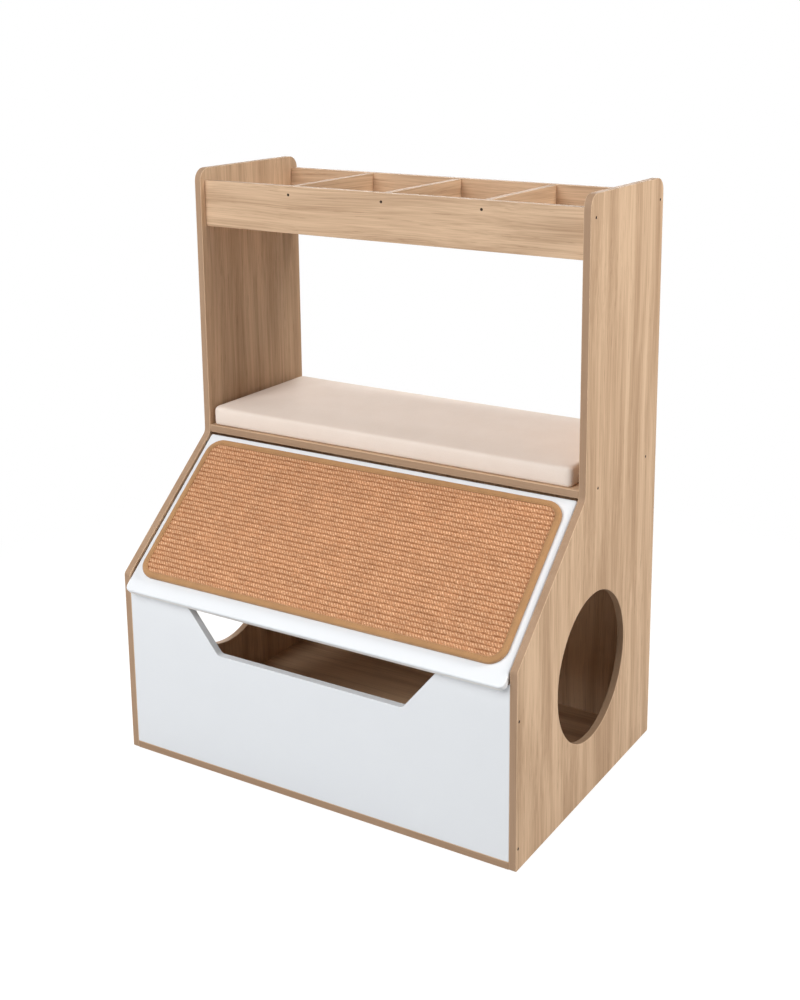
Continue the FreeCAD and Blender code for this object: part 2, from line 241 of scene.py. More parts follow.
class CatHouseStage(bpy.types.PropertyGroup):
    """Floor, light and camera"""
    floor_size: length("Floor size", "The side of the floor", 14.0)
    floor: colour("Floor", "The pale floor", (0.56, 0.56, 0.56))
    daylight: share("Daylight", "The even light from all round", 0.12)
    front_light: number("Front light", "Watts of the lamp at the front", 92.0)
    side_light: number("Side light", "Watts of the lamp at the right", 84.0)
    left_light: number("Left light", "Watts of the lamp at the left", 44.0)
    back_light: number("Back light", "Watts of the lamp at the back", 66.0)
    camera_place: FloatVectorProperty(name="Camera place", description="Where the camera stands",
                                      default=(1.1926, -1.8146, 1.1799), subtype="TRANSLATION", unit="LENGTH")
    camera_heading: degrees("Camera heading", "Turn of the camera about the upright axis", 30.02)
    camera_dip: degrees("Camera dip", "How far the camera looks down", 12.403)
    camera_lens: number("Lens", "Focal length in millimetres", 50.884)
    axis_column: number("Axis column", "Where the lens axis meets the image, across", 465.0)
    axis_row: number("Axis row", "Where the lens axis meets the image, down", 330.0)


# Node wiring

class Wiring:
    """Places nodes in one tree and links what is handed to their sockets."""

    def __init__(self, tree):
        self.tree = tree

    def add(self, kind, values=None, **settings):
        """A new node with its settings made and its sockets fed."""
        node = self.tree.nodes.new(kind)
        count = len(self.tree.nodes)
        node.location = (200 * (count % 8), -260 * (count // 8))
        for name, value in settings.items():
            setattr(node, name, value)
        self.fill(node.inputs, values or {})
        return node

    def fill(self, sockets, values):
        """Feeds several sockets of a node."""
        for socket, value in values.items():
            self.feed(sockets[socket], value)

    def feed(self, socket, value):
        """Links a socket to another, or gives it a plain value."""
        if isinstance(value, bpy.types.NodeSocket):
            self.tree.links.new(value, socket)
        elif socket.type == "RGBA" and len(value) == 3:
            socket.default_value = (*value, 1.0)
        else:
            socket.default_value = value

    def sum(self, operation, *values):
        """One step of arithmetic."""
        return self.add("ShaderNodeMath", dict(enumerate(values)), operation=operation).outputs[0]

    def times(self, first, second):
        """Two values multiplied."""
        return self.sum("MULTIPLY", first, second)

    def along(self, operation, *values):
        """One step of arithmetic on vectors."""
        return self.add("ShaderNodeVectorMath", dict(enumerate(values)), operation=operation).outputs[0]

    def split(self, vector):
        """The three parts of a vector."""
        return self.add("ShaderNodeSeparateXYZ", {0: vector}).outputs

    def spread(self, value, low, high, to_low=0.0, to_high=1.0):
        """A value moved smoothly from one range to another."""
        node = self.add("ShaderNodeMapRange", {0: value, 1: low, 2: high, 3: to_low, 4: to_high},
                        interpolation_type="SMOOTHSTEP")
        return node.outputs[0]

    def weigh(self, *parts):
        """The sum of values, each times its own weight."""
        total, *others = [self.times(value, weight) for value, weight in parts]
        for other in others:
            total = self.sum("ADD", total, other)
        return total

    def scaled(self, vector, factor):
        """A vector or colour times one number."""
        node = self.add("ShaderNodeVectorMath", {0: vector, "Scale": factor}, operation="SCALE")
        return node.outputs[0]

    def blend(self, fac, first, second, part=1.0):
        """Two colours mixed by a factor, or by a part of it."""
        fac = fac if part == 1.0 else self.times(fac, part)
        node = self.add("ShaderNodeMix", {0: fac, 6: first, 7: second}, data_type="RGBA")
        return node.outputs[2]

    def noise(self, place, detail):
        """The value and the colour of a cloudy noise."""
        return self.add("ShaderNodeTexNoise", {"Vector": place, "Scale": 1.0, "Detail": detail}).outputs

    def grain(self, vector, stretch, detail=2.0):
        """Noise stretched along the axes."""
        return self.noise(self.along("MULTIPLY", vector, stretch), detail)[0]


def new_group(name, inputs, outputs):
    """An empty shader group with its wiring and the sockets inside it."""
    tree = bpy.data.node_groups.new(name, "ShaderNodeTree")
    for way, labels in (("INPUT", inputs), ("OUTPUT", outputs)):
        for label in labels:
            kind = "NodeSocketVector" if label == "Position" else "NodeSocketFloat"
            tree.interface.new_socket(name=label, in_out=way, socket_type=kind)
    wire = Wiring(tree)
    return tree, wire, wire.add("NodeGroupInput").outputs, wire.add("NodeGroupOutput").inputs


def effect(wire, make, **values):
    """A shared group, built once, placed in a material with its own values."""
    tree = bpy.data.node_groups.get(make.__name__) or make(make.__name__)
    return wire.add("ShaderNodeGroup", values, node_tree=tree).outputs


def bare_wiring(owner):
    """The wiring of a material or world without its first nodes."""
    owner.use_nodes = True
    owner.node_tree.nodes.clear()
    return Wiring(owner.node_tree)


def new_material(name):
    """A material with only its Principled shader and output."""
    material = bpy.data.materials.new(name)
    wire = bare_wiring(material)
    shader = wire.add("ShaderNodeBsdfPrincipled")
    wire.add("ShaderNodeOutputMaterial", {"Surface": shader.outputs[0]})
    return material, wire, shader.inputs


def object_place(wire):
    """The point on the piece, in metres in the part's own frame."""
    return wire.add("ShaderNodeTexCoord").outputs["Object"]


def bumped(wire, height, distance, strength):
    """A normal raised by a height that changes over the surface."""
    values = {"Strength": strength, "Distance": distance, "Height": height}
    return wire.add("ShaderNodeBump", values).outputs[0]


def darker(tint, part):
    """A colour at a part of its brightness."""
    return [part * tone for tone in tint]


# Shared effects

def oak_grain(name):
    """Oak with its grain along Z: tone from pale to deep, pores, and the height of its print."""
    tree, wire, inside, out = new_group(name, ["Position"], ["Tone", "Pores", "Height"])
    sway = wire.noise(wire.along("MULTIPLY", inside["Position"], (4.0, 4.0, 2.4)), 1.0)
    lean = wire.along("SUBTRACT", sway[1], (0.5, 0.5, 0.5))
    place = wire.along("ADD", inside["Position"], wire.along("MULTIPLY", lean, (0.026, 0.026, 0.0)))
    bands = wire.grain(place, (26.0, 26.0, 1.2))
    streaks = wire.grain(place, (160.0, 160.0, 2.8))
    fibres = wire.grain(place, (600.0, 600.0, 9.0))
    parts = wire.split(place)
    flow = wire.times(wire.grain(place, (7.0, 7.0, 1.2), 1.0), 20.0)
    turn = wire.sum("MULTIPLY_ADD", wire.sum("ADD", parts[0], parts[1]), 115.0, flow)
    rings = wire.sum("MULTIPLY_ADD", wire.sum("SINE", turn), 0.5, 0.5)
    mixed = wire.weigh((bands, 0.42), (streaks, 0.20), (fibres, 0.31), (rings, 0.07))
    tone = wire.spread(mixed, 0.35, 0.65)
    dashes = wire.grain(place, (950.0, 950.0, 26.0), 1.0)
    where = wire.spread(streaks, 0.42, 0.62)
    pores = wire.times(wire.spread(dashes, 0.60, 0.72), where)
    height = wire.sum("SUBTRACT", wire.times(fibres, 0.5), pores)
    wire.fill(out, {"Tone": tone, "Pores": pores, "Height": height})
    return tree


def board_edge(name):
    """Masks of a board's banded edge and of the painted highlight along its rounded corners, by depth in the
    board.
    """
    tree, wire, inside, out = new_group(name, ["Place", "Low", "High", "Round"], ["Edge", "Arris Highlight"])
    over = wire.sum("SUBTRACT", inside["Place"], inside["Low"])
    under = wire.sum("SUBTRACT", inside["High"], inside["Place"])
    depth = wire.sum("DIVIDE", wire.sum("MINIMUM", over, under), inside["Round"])
    edge = wire.spread(depth, 0.55, 1.0)
    # Painted highlight along the rounded corners
    line = wire.times(wire.spread(depth, 0.02, 0.2), wire.spread(depth, 0.75, 1.15, 1.0, 0.0))
    wire.fill(out, {"Edge": edge, "Arris Highlight": line})
    return tree


def soft_cloud(name):
    """A slow cloudy change and a fine grain, for plain finishes."""
    tree, wire, inside, out = new_group(name, ["Position", "Size", "Fine"], ["Cloud", "Grain"])
    broad = wire.scaled(inside["Position"], wire.sum("DIVIDE", 1.0, inside["Size"]))
    close = wire.scaled(inside["Position"], wire.sum("DIVIDE", 1.0, inside["Fine"]))
    cloud = wire.spread(wire.noise(broad, 3.0)[0], 0.3, 0.7)
    wire.fill(out, {"Cloud": cloud, "Grain": wire.noise(close, 2.0)[0]})
    return tree


def plain_weave(name):
    """A plain weave that shows on every side of a piece, with uneven threads."""
    tree, wire, inside, out = new_group(name, ["Position", "Pitch"], ["Weave", "Slub"])
    parts = wire.split(inside["Position"])
    turn = wire.sum("DIVIDE", 2 * math.pi, inside["Pitch"])
    warp = wire.sum("SINE", wire.times(wire.sum("ADD", parts[0], parts[2]), turn))
    weft = wire.sum("SINE", wire.times(wire.sum("ADD", parts[1], parts[2]), turn))
    knots = wire.sum("MULTIPLY_ADD", wire.times(warp, weft), 0.5, 0.5)
    slub_across = wire.grain(inside["Position"], (18.0, 700.0, 700.0), 1.0)
    slub_along = wire.grain(inside["Position"], (700.0, 18.0, 700.0), 1.0)
    slub = wire.times(wire.sum("ADD", slub_across, slub_along), 0.5)
    wire.fill(out, {"Weave": knots, "Slub": slub})
    return tree


# Finishes

def oak_finish(node, grain_axis, thick_axis, boards):
    """Oak laminate on one board, with banded edges and a painted highlight along their rounded corners."""
    material, wire, shader = new_material("oak_" + node)
    place = object_place(wire)
    turn = {"X": (0.0, -math.pi / 2, 0.0), "Y": (math.pi / 2, 0.0, 0.0), "Z": (0.0, 0.0, 0.0)}[grain_axis]
    shift = Vector((1.7, 0.9, 2.3)) * (1 + sorted(oak_boards).index(node))
    turned = wire.add("ShaderNodeMapping", {"Vector": place, "Location": shift, "Rotation": turn}).outputs[0]
    oak = effect(wire, oak_grain, Position=turned)
    low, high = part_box(node)
    axis = "XYZ".index(thick_axis)
    depth = wire.split(place)[axis]
    edge = effect(wire, board_edge, Place=depth, Low=low[axis], High=high[axis], Round=board_round)
    face = wire.blend(oak["Tone"], boards.oak_light, boards.oak_dark)
    face = wire.blend(oak["Pores"], face, boards.oak_pore, 0.55)
    band = wire.blend(oak["Tone"], boards.oak_edge, boards.oak_pore, 0.30)
    banded = wire.blend(edge["Edge"], face, band)
    # Painted highlight along the boards' rounded corners
    highlighted_tone = wire.blend(edge["Arris Highlight"], banded, boards.oak_arris, 0.75)
    wire.fill(shader, {
        "Base Color": highlighted_tone,
        "Roughness": wire.spread(oak["Tone"], 0.0, 1.0, 0.56, 0.68),
        "Specular IOR Level": 0.22,
        "Normal": bumped(wire, oak["Height"], 0.00035, 0.35)})
    return material


def white_finish(name, boards, lid=None, thickness=0.0):
    """Satin white laminate; for the lid, also its banded lower end, with painted shade warmed by light
    reflected from below along that end's bottom edge.
    """
    material, wire, shader = new_material(name)
    place = object_place(wire)
    cloud = effect(wire, soft_cloud, Position=place, Size=0.11, Fine=0.0016)
    tone = wire.blend(cloud["Cloud"], boards.white_face, boards.white_shade)
    if lid:
        along, out = wire.split(lid_place(wire, lid))[1:]
        end = wire.spread(along, *lid_end, 1.0, 0.0)
        band = wire.times(end, wire.spread(out, *band_edge, 1.0, 0.0))
        over = wire.spread(out, *joint_foot)
        joint = wire.times(over, wire.spread(out, *joint_head, 1.0, 0.0))
        tone = wire.blend(band, tone, boards.white_band)
        tone = wire.blend(wire.times(end, joint), tone, boards.white_joint, 0.7)
        # Painted shade warmed by light reflected from below, along the bottom edge of the lid's lower end
        low = wire.spread(out, *[edge - thickness for edge in bounce_rise], 1.0, 0.0)
        bare = wire.times(low, wire.spread(along, *bounce_end, 1.0, 0.0))
        tone = wire.blend(bare, tone, boards.white_bare)
    wire.fill(shader, {
        "Base Color": tone,
        "Roughness": wire.spread(cloud["Grain"], 0.3, 0.7, 0.34, 0.44),
        "Normal": bumped(wire, cloud["Grain"], 0.0001, 0.25)})
    return material


def sisal_finish(mat, lid, low, high):
    """Coarse sisal: painted shade in the thin valleys between ribs, a painted highlight on the leaning
    strands of the knots, and hairy fibres.
    """
    material, wire, shader = new_material("sisal_weave")
    middle, field, ribs, knots = weave_plan(mat, low, high)
    place = lid_place(wire, lid)
    parts = wire.split(place)
    specks = wire.grain(place, (330.0, 330.0, 330.0))
    wander = wire.grain(place, (110.0, 110.0, 110.0), 1.0)
    row = wire.times(wire.sum("SUBTRACT", parts[1], middle.y - field.y), ribs / (2 * field.y))
    row = wire.sum("ADD", row, wire.spread(wander, 0.2, 0.8, -0.07, 0.07))
    part = wire.sum("FRACT", row)
    offset = wire.sum("FRACT", wire.times(wire.sum("FLOOR", row), rib_step))
    column = wire.times(wire.sum("SUBTRACT", parts[0], middle.x - field.x), knots / (2 * field.x))
    column = wire.sum("ADD", column, wire.spread(specks, 0.2, 0.8, -0.3, 0.3))
    turn = wire.sum("ADD", wire.sum("ADD", column, offset), wire.times(part, rib_lean))
    strand = wire.spread(wire.sum("COSINE", wire.times(turn, 2 * math.pi)), -0.1, 0.95)
    hill = wire.sum("SINE", wire.times(part, math.pi))
    leaning = wire.add("ShaderNodeMapping", {"Vector": place, "Rotation": (0.0, 0.0, math.radians(48.0))})
    strokes = wire.grain(leaning.outputs[0], (170.0, 900.0, 170.0))
    slow = wire.grain(place, (26.0, 60.0, 26.0))
    # Painted highlight on the tops of the knots' leaning strands
    pale = wire.times(strand, hill)
    pale = wire.times(pale, wire.spread(specks, 0.34, 0.62, 0.15, 1.0))
    # Painted shade in the valleys between the ribs
    valley = wire.spread(wire.sum("MINIMUM", part, wire.sum("SUBTRACT", 1.0, part)), 0.03, 0.24, 1.0, 0.0)
    broken_shade = wire.times(valley, wire.spread(specks, 0.30, 0.66, 0.95, 0.35))
    body = wire.blend(wire.spread(strokes, 0.32, 0.68), mat.sisal_body, darker(mat.sisal_body, 0.72))
    tone = wire.blend(pale, body, mat.sisal_light, 0.95)
    tone = wire.blend(broken_shade, tone, mat.sisal_dark, 0.88)
    height = wire.weigh((pale, 0.6), (strokes, 0.5))
    wire.fill(shader, {
        "Base Color": wire.scaled(tone, wire.spread(slow, 0.25, 0.75, 0.93, 1.07)),
        "Roughness": wire.spread(strokes, 0.3, 0.7, 0.80, 0.95),
        "Specular IOR Level": 0.2,
        "Normal": bumped(wire, height, 0.0008, 0.7)})
    return material


def tape_finish(mat, lid):
    """Flat cotton tape."""
    material, wire, shader = new_material("binding_tape")
    place = lid_place(wire, lid)
    weave = effect(wire, plain_weave, Position=place, Pitch=0.0011)
    cloud = effect(wire, soft_cloud, Position=place, Size=0.02, Fine=0.0009)
    dark = darker(mat.tape, 0.80)
    tone = wire.blend(cloud["Cloud"], mat.tape, dark, 0.6)
    tone = wire.blend(wire.spread(weave["Slub"], 0.4, 0.65), tone, dark, 0.35)
    wire.fill(shader, {
        "Base Color": tone,
        "Roughness": wire.spread(cloud["Grain"], 0.3, 0.7, 0.78, 0.92),
        "Sheen Weight": 0.15,
        "Normal": bumped(wire, weave["Weave"], 0.0003, 0.6)})
    return material


def thread_finish(mat):
    """Twisted sewing thread."""
    material, wire, shader = new_material("binding_thread")
    twist = wire.grain(object_place(wire), (2600.0, 2600.0, 2600.0), 1.0)
    wire.fill(shader, {
        "Base Color": wire.blend(wire.spread(twist, 0.35, 0.65), mat.thread, darker(mat.thread, 0.7)),
        "Roughness": wire.spread(twist, 0.3, 0.7, 0.7, 0.85)})
    return material


def cushion_finish(cushion):
    """Brushed fabric with a fine weave and painted shade along the grooves of its seams."""
    material, wire, shader = new_material("cushion_fabric")
    place = object_place(wire)
    weave = effect(wire, plain_weave, Position=place, Pitch=0.0010)
    cloud = effect(wire, soft_cloud, Position=place, Size=0.05, Fine=0.0007)
    nap = wire.weigh((cloud["Cloud"], 0.15), (cloud["Grain"], 0.65))
    tone = wire.blend(wire.spread(nap, 0.15, 0.8), cushion.fabric, cushion.fabric_shade)
    tone = wire.blend(wire.spread(weave["Slub"], 0.45, 0.68), tone, cushion.fabric_shade, 0.25)
    seam = wire.add("ShaderNodeAttribute", attribute_name="seam").outputs["Fac"]
    # Painted shade along the grooves of the seams
    tone = wire.blend(seam, tone, darker(cushion.fabric_shade, 0.62), 0.35)
    height = wire.weigh((weave["Weave"], 0.6), (cloud["Grain"], 0.5))
    wire.fill(shader, {
        "Base Color": tone,
        "Roughness": wire.spread(cloud["Grain"], 0.3, 0.7, 0.84, 0.96),
        "Sheen Weight": 0.18,
        "Normal": bumped(wire, height, 0.0003, 0.5)})
    return material


def metal_finish(name, tint, rough, metallic):
    """Turned or bronzed steel with fine tool marks."""
    material, wire, shader = new_material(name)
    place = object_place(wire)
    marks = wire.grain(place, (400.0, 4000.0, 4000.0))
    cloud = effect(wire, soft_cloud, Position=place, Size=0.003, Fine=0.0004)
    wire.fill(shader, {
        "Base Color": wire.blend(cloud["Cloud"], tint, darker(tint, 0.72)),
        "Metallic": metallic,
        "Roughness": wire.spread(marks, 0.3, 0.7, rough, rough + 0.14),
        "Normal": bumped(wire, marks, 0.00005, 0.4)})
    return material


def plain_finish(name, tint, rough, stretch):
    """A moulded or turned small piece with a faint grain along its length."""
    material, wire, shader = new_material(name)
    marks = wire.grain(object_place(wire), stretch)
    wire.fill(shader, {
        "Base Color": wire.blend(wire.spread(marks, 0.3, 0.7), tint, darker(tint, 0.8)),
        "Roughness": wire.spread(marks, 0.3, 0.7, rough, rough + 0.12),
        "Normal": bumped(wire, marks, 0.0001, 0.3)})
    return material


# Places on the lid

def lid_matrix():
    """From a place on the lid, as across, up the slope and out of it, to the part's frame."""
    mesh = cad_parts["lid_panel"].data
    out = max(mesh.polygons, key=lambda face: face.area).normal.copy()
    if out.z < 0:
        out.negate()
    across = Vector((1.0, 0.0, 0.0))
    up = out.cross(across).normalized()
    top = max(vertex.co.dot(out) for vertex in mesh.vertices)
    low = min(vertex.co.dot(up) for vertex in mesh.vertices)
    turn = Matrix((across, up, out)).transposed().to_4x4()
    return Matrix.Translation(up * low + out * top) @ turn


def lid_place(wire, lid):
    """The point on a piece of the lid, as across, up the slope and out of it."""
    back = lid.inverted()
    turned = wire.add("ShaderNodeMapping", {
        "Vector": object_place(wire), "Location": back.to_translation(), "Rotation": back.to_euler()})
    return turned.outputs[0]


def lid_span(node, lid):
    """The lowest and highest corner of a packed piece in the lid's own directions."""
    back = lid.inverted()
    points = [back @ vertex.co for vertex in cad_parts[node].data.vertices]
    return [Vector([pick(point[axis] for point in points) for axis in range(3)]) for pick in (min, max)]


def inside_by(point, middle, half, radius):
    """How far a flat point lies inside a rounded rectangle."""
    over_x = abs(point.x - middle.x) - half.x + radius
    over_y = abs(point.y - middle.y) - half.y + radius
    outside = math.hypot(max(over_x, 0.0), max(over_y, 0.0))
    return radius - outside - min(max(over_x, over_y), 0.0)


def smooth_step(value, low, high):
    """Nothing below a range, one above it, and a smooth rise between."""
    part = min(max((value - low) / (high - low), 0.0), 1.0)
    return part * part * (3 - 2 * part)


# Making pieces

def in_scene(name, data):
    """A new object in the scene."""
    made = bpy.data.objects.new(name, data)
    bpy.context.scene.collection.objects.link(made)
    return made


def new_object(name, mesh_maker, material):
    """A form at the origin with its finish."""
    mesh = bpy.data.meshes.new(name)
    form = bmesh.new()
    mesh_maker(form)
    form.to_mesh(mesh)
    form.free()
    mesh.materials.append(material)
    return in_scene(name, mesh)


def new_piece(name, mesh_maker, material, body):
    """A finished piece that moves with a body."""
    piece = new_object(name, mesh_maker, material)
    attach(piece, body)
    return piece


def lid_piece(name, shape, mat, low, high, material, lid):
    """A soft piece that is shaped flat and then laid on the lid's slope."""
    def make(form):
        shape(form, mat, low, high, mat_corner)
        for face in form.faces:
            face.smooth = True
        bmesh.ops.transform(form, verts=form.verts, matrix=lid)

    return new_piece(name, make, material, "lid")


def dress(node, material):
    """Gives a packed piece its finish."""
    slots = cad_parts[node].data.materials
    slots.clear()
    slots.append(material)


def only(made, kind):
    """The corners or the edges among what a step made."""
    return [part for part in made if isinstance(part, kind)]


def new_edges(made):
    """The edges of the far end of an extrusion."""
    ends = set(only(made, bmesh.types.BMVert))
    return [edge for edge in only(made, bmesh.types.BMEdge) if ends.issuperset(edge.verts)]


def push_loop(form, loop, step, count):
    """Runs an open loop of edges straight on in equal steps."""
    for step_number in range(count):
        made = bmesh.ops.extrude_edge_only(form, edges=loop)["geom"]
        bmesh.ops.translate(form, verts=only(made, bmesh.types.BMVert), vec=step)
        loop = new_edges(made)
    return loop


def turn_loop(form, loop, centre, axis, angle, count):
    """Runs an open loop of edges round a corner."""
    verts = list({vert for edge in loop for vert in edge.verts})
    made = bmesh.ops.spin(form, geom=verts + loop, cent=centre, axis=axis, dvec=(0, 0, 0), angle=angle,
                          steps=count, use_merge=False, use_duplicate=False)["geom_last"]
    return only(made, bmesh.types.BMEdge)


def weave_plan(mat, low, high):
    """The middle and half size of the woven field, and how many ribs and knots it has."""
    edge = mat.tape_width - mat.tape_overlap
    field = ((high - low) / 2 - Vector((edge, edge, 0.0))).to_2d()
    return (low + high) / 2, field, round(2 * field.y / mat.rib_pitch), round(2 * field.x / mat.knot_pitch)


def woven_field(form, mat, low, high, radius):
    """The ribbed field of the mat, pressed down where the tape covers its rim."""
    middle, field, ribs, knots = weave_plan(mat, low, high)
    inner = field - Vector((mat.tape_overlap, mat.tape_overlap))
    inner_radius = radius - mat.tape_width
    bmesh.ops.create_grid(form, x_segments=knot_cuts * knots, y_segments=rib_cuts * ribs, size=1.0)
    dice = random.Random(weave_seed)
    lifts = [[dice.random() - 0.5 for knot in range(knots + 2)] for rib in range(ribs + 1)]
    for vert in form.verts:
        column = (vert.co.x + 1) * knots / 2
        row = (vert.co.y + 1) * ribs / 2
        rib = min(int(row + grid_slack), ribs - 1)
        part = row - rib
        profile = max(math.sin(math.pi * part), 0.0) ** rib_fullness
        offset = (rib * rib_step) % 1.0
        wave = 0.5 + 0.5 * math.cos(2 * math.pi * (column + offset + rib_lean * part))
        lift = lifts[rib][int(column + offset + grid_slack)]
        rise = profile * (1 - knot_depth + knot_depth * wave)
        flat = Vector((vert.co.x * field.x + middle.x, vert.co.y * field.y + middle.y, 0.0))
        inside = inside_by(flat, middle, inner, inner_radius)
        pressed = smooth_step(inside, *press_span)
        spot = Vector((flat.x * uneven_scale, flat.y * uneven_scale, uneven_slice))
        uneven = uneven_height * noise.noise(spot)
        full = high.z - mat.rib_height + mat.rib_height * rise + knot_lift * lift * rise + uneven
        vert.co = (flat.x, flat.y, rim_height + (full - rim_height) * pressed)
    rim = [edge for edge in form.edges if edge.is_boundary]
    made = bmesh.ops.extrude_edge_only(form, edges=rim)["geom"]
    for vert in only(made, bmesh.types.BMVert):
        vert.co.z = low.z + sole_height
    bmesh.ops.contextual_create(form, geom=new_edges(made))
    bmesh.ops.recalc_face_normals(form, faces=form.faces)


def tape_section(width, height):
    """The section of the folded tape, as pairs of distance inside the mat's rim and height over the lid."""
    shares = [
        (0.030, 0.06), (0.000, 0.30), (0.000, 0.58), (0.035, 0.82), (0.120, 0.96), (0.300, 1.02),
        (0.520, 1.02), (0.740, 0.98), (0.900, 0.93), (0.985, 0.86), (1.000, 0.76), (0.960, 0.62),
        (0.600, 0.50), (0.300, 0.06),
    ]
    return [(width * inward, height * rise) for inward, rise in shares]


def corner_centres(low, high, radius):
    """The centres of a rounded rectangle's corners, round from the lower right one."""
    left, right = low.x + radius, high.x - radius
    foot, head = low.y + radius, high.y - radius
    return [Vector(spot) for spot in ((right, foot), (right, head), (left, head), (left, foot))]


def bound_edge(form, mat, low, high, radius):
    """The tape swept round the rim of the mat."""
    middle = (low + high) / 2
    verts = [form.verts.new((middle.x, low.y + inward, low.z + rise))
             for inward, rise in tape_section(mat.tape_width, high.z - low.z)]
    loop = [form.edges.new((verts[place - 1], verts[place])) for place in range(len(verts))]
    half_run = Vector((high.x - radius - middle.x, 0, 0))
    side_run = Vector((0, high.y - low.y - 2 * radius, 0))
    runs = [
        (half_run, long_cuts), (side_run, side_cuts),
        (-2 * half_run, 2 * long_cuts), (-side_run, side_cuts),
    ]
    for (run, count), centre in zip(runs, corner_centres(low, high, radius)):
        loop = push_loop(form, loop, run / count, count)
        loop = turn_loop(form, loop, centre.to_3d(), (0, 0, 1), math.pi / 2, corner_cuts)
    push_loop(form, loop, half_run / long_cuts, long_cuts)
    bmesh.ops.remove_doubles(form, verts=form.verts, dist=weld_gap)
    for vert in form.verts:
        swell = noise.noise(vert.co * ripple_scale) * ripple_height
        vert.co.z += swell * smooth_step(vert.co.z, *ripple_span)
    bmesh.ops.recalc_face_normals(form, faces=form.faces)


def walk_outline(low, high, radius, pitch):
    """Evenly spaced places and headings round a rounded rectangle."""
    centres = corner_centres(low, high, radius)
    sides = [high.x - low.x - 2 * radius, high.y - low.y - 2 * radius] * 2
    bend = radius * math.pi / 2
    total = sum(sides) + 4 * bend
    count = round(total / pitch)
    for place in range(count):
        left = total * place / count
        corner = 0
        while left >= sides[corner] + bend:
            left -= sides[corner] + bend
            corner += 1
        heading = corner * math.pi / 2 + max(left - sides[corner], 0.0) / radius
        out = Vector((math.sin(heading), -math.cos(heading))) * radius
        back = Vector((math.cos(heading), math.sin(heading))) * max(sides[corner] - left, 0.0)
        yield centres[corner] + out - back, heading


def tape_stitches(form, mat, low, high, radius):
    """A row of short stitches near the inner edge of the tape."""
    inset = mat.tape_width * stitch_inset
    inner_low = Vector((low.x + inset, low.y + inset))
    inner_high = Vector((high.x - inset, high.y - inset))
    level = high.z - stitch_sink * (high.z - low.z)
    for spot, heading in walk_outline(inner_low, inner_high, radius - inset, mat.stitch_pitch):
        made = bmesh.ops.create_icosphere(form, subdivisions=1, radius=1.0)["verts"]
        size = Matrix.Diagonal((mat.stitch_pitch * stitch_half, *stitch_round, 1.0))
        turn = Matrix.Rotation(heading, 4, "Z")
        place = Matrix.Translation((spot.x, spot.y, level))
        bmesh.ops.transform(form, verts=made, matrix=place @ turn @ size)


# Cushion

def pad_form(form, low, high, radius):
    """The plain pad that the cushion swells from."""
    bmesh.ops.create_cube(form, size=1.0)
    bmesh.ops.scale(form, verts=form.verts, vec=high - low)
    bmesh.ops.translate(form, verts=form.verts, vec=(low + high) / 2)
    half_height = (high.z - low.z) / 2
    upright = [edge for edge in form.edges if abs(edge.verts[0].co.z - edge.verts[1].co.z) > half_height]
    bmesh.ops.bevel(form, geom=upright, offset=radius, offset_type="OFFSET", affect="EDGES",
                    segments=pad_segments, profile=0.5, material=-1)


def kept_mesh(piece):
    """A new mesh with the piece's modifiers in it."""
    bpy.context.view_layer.update()
    graph = bpy.context.evaluated_depsgraph_get()
    return bpy.data.meshes.new_from_object(piece.evaluated_get(graph))


def settle_modifiers(piece):
    """Puts the piece's modifiers into its mesh."""
    mesh = kept_mesh(piece)
    old = piece.data
    piece.modifiers.clear()
    piece.data = mesh
    bpy.data.meshes.remove(old)


def seam_gap(point, low, high, radius):
    """How far a point is from the nearer of the two sewn seams round the pad."""
    middle = (low + high) / 2
    half = (high - low) / 2
    side = inside_by(point, middle, half, radius)
    level = min(abs(point.z - low.z), abs(point.z - high.z))
    return math.hypot(side, level)


def swell(piece, cushion, low, high):
    """Blows the pad up from inside with its seams held, and keeps the result in its mesh."""
    rest = [vertex.co.copy() for vertex in piece.data.vertices]
    held = piece.vertex_groups.new(name="seams")
    near = [place for place, point in enumerate(rest)
            if seam_gap(point, low, high, cushion.corner_radius) < cushion.voxel]
    held.add(near, 1.0, "REPLACE")
    cloth = piece.modifiers.new("swell", "CLOTH")
    cloth.point_cache.frame_start = 1
    cloth.point_cache.frame_end = cushion.steps
    fabric = cloth.settings
    for name, value in cloth_settings.items():
        setattr(fabric, name, value)
    fabric.uniform_pressure_force = cushion.pressure
    fabric.vertex_group_mass = held.name
    fabric.effector_weights.gravity = 0.0
    for step in range(1, cushion.steps + 1):
        bpy.context.scene.frame_set(step)
    result = kept_mesh(piece)
    moved = [vertex.co.copy() for vertex in result.vertices]
    bpy.data.meshes.remove(result)
    piece.modifiers.clear()
    bpy.context.scene.frame_set(1)
    side_cap = Vector((cushion.seam_inset, cushion.seam_inset, cushion.crown))
    for vertex, before, after in zip(piece.data.vertices, rest, moved):
        for axis, cap in enumerate(side_cap):
            vertex.co[axis] = before[axis] + cap * math.tanh((after[axis] - before[axis]) / cap)
        vertex.co.z = max(vertex.co.z, low.z)


def draw_sides(piece, low, high, cushion):
    """Pulls the sides in between the corners."""
    middle = (low + high) / 2
    half = (high - low) / 2
    for vertex in piece.data.vertices:
        across = (vertex.co.x - middle.x) / half.x
        deep = (vertex.co.y - middle.y) / half.y
        vertex.co.y -= deep * cushion.draw_in * (1 - across ** 2)
        vertex.co.x -= across * cushion.draw_in * short_draw * (1 - deep ** 2)


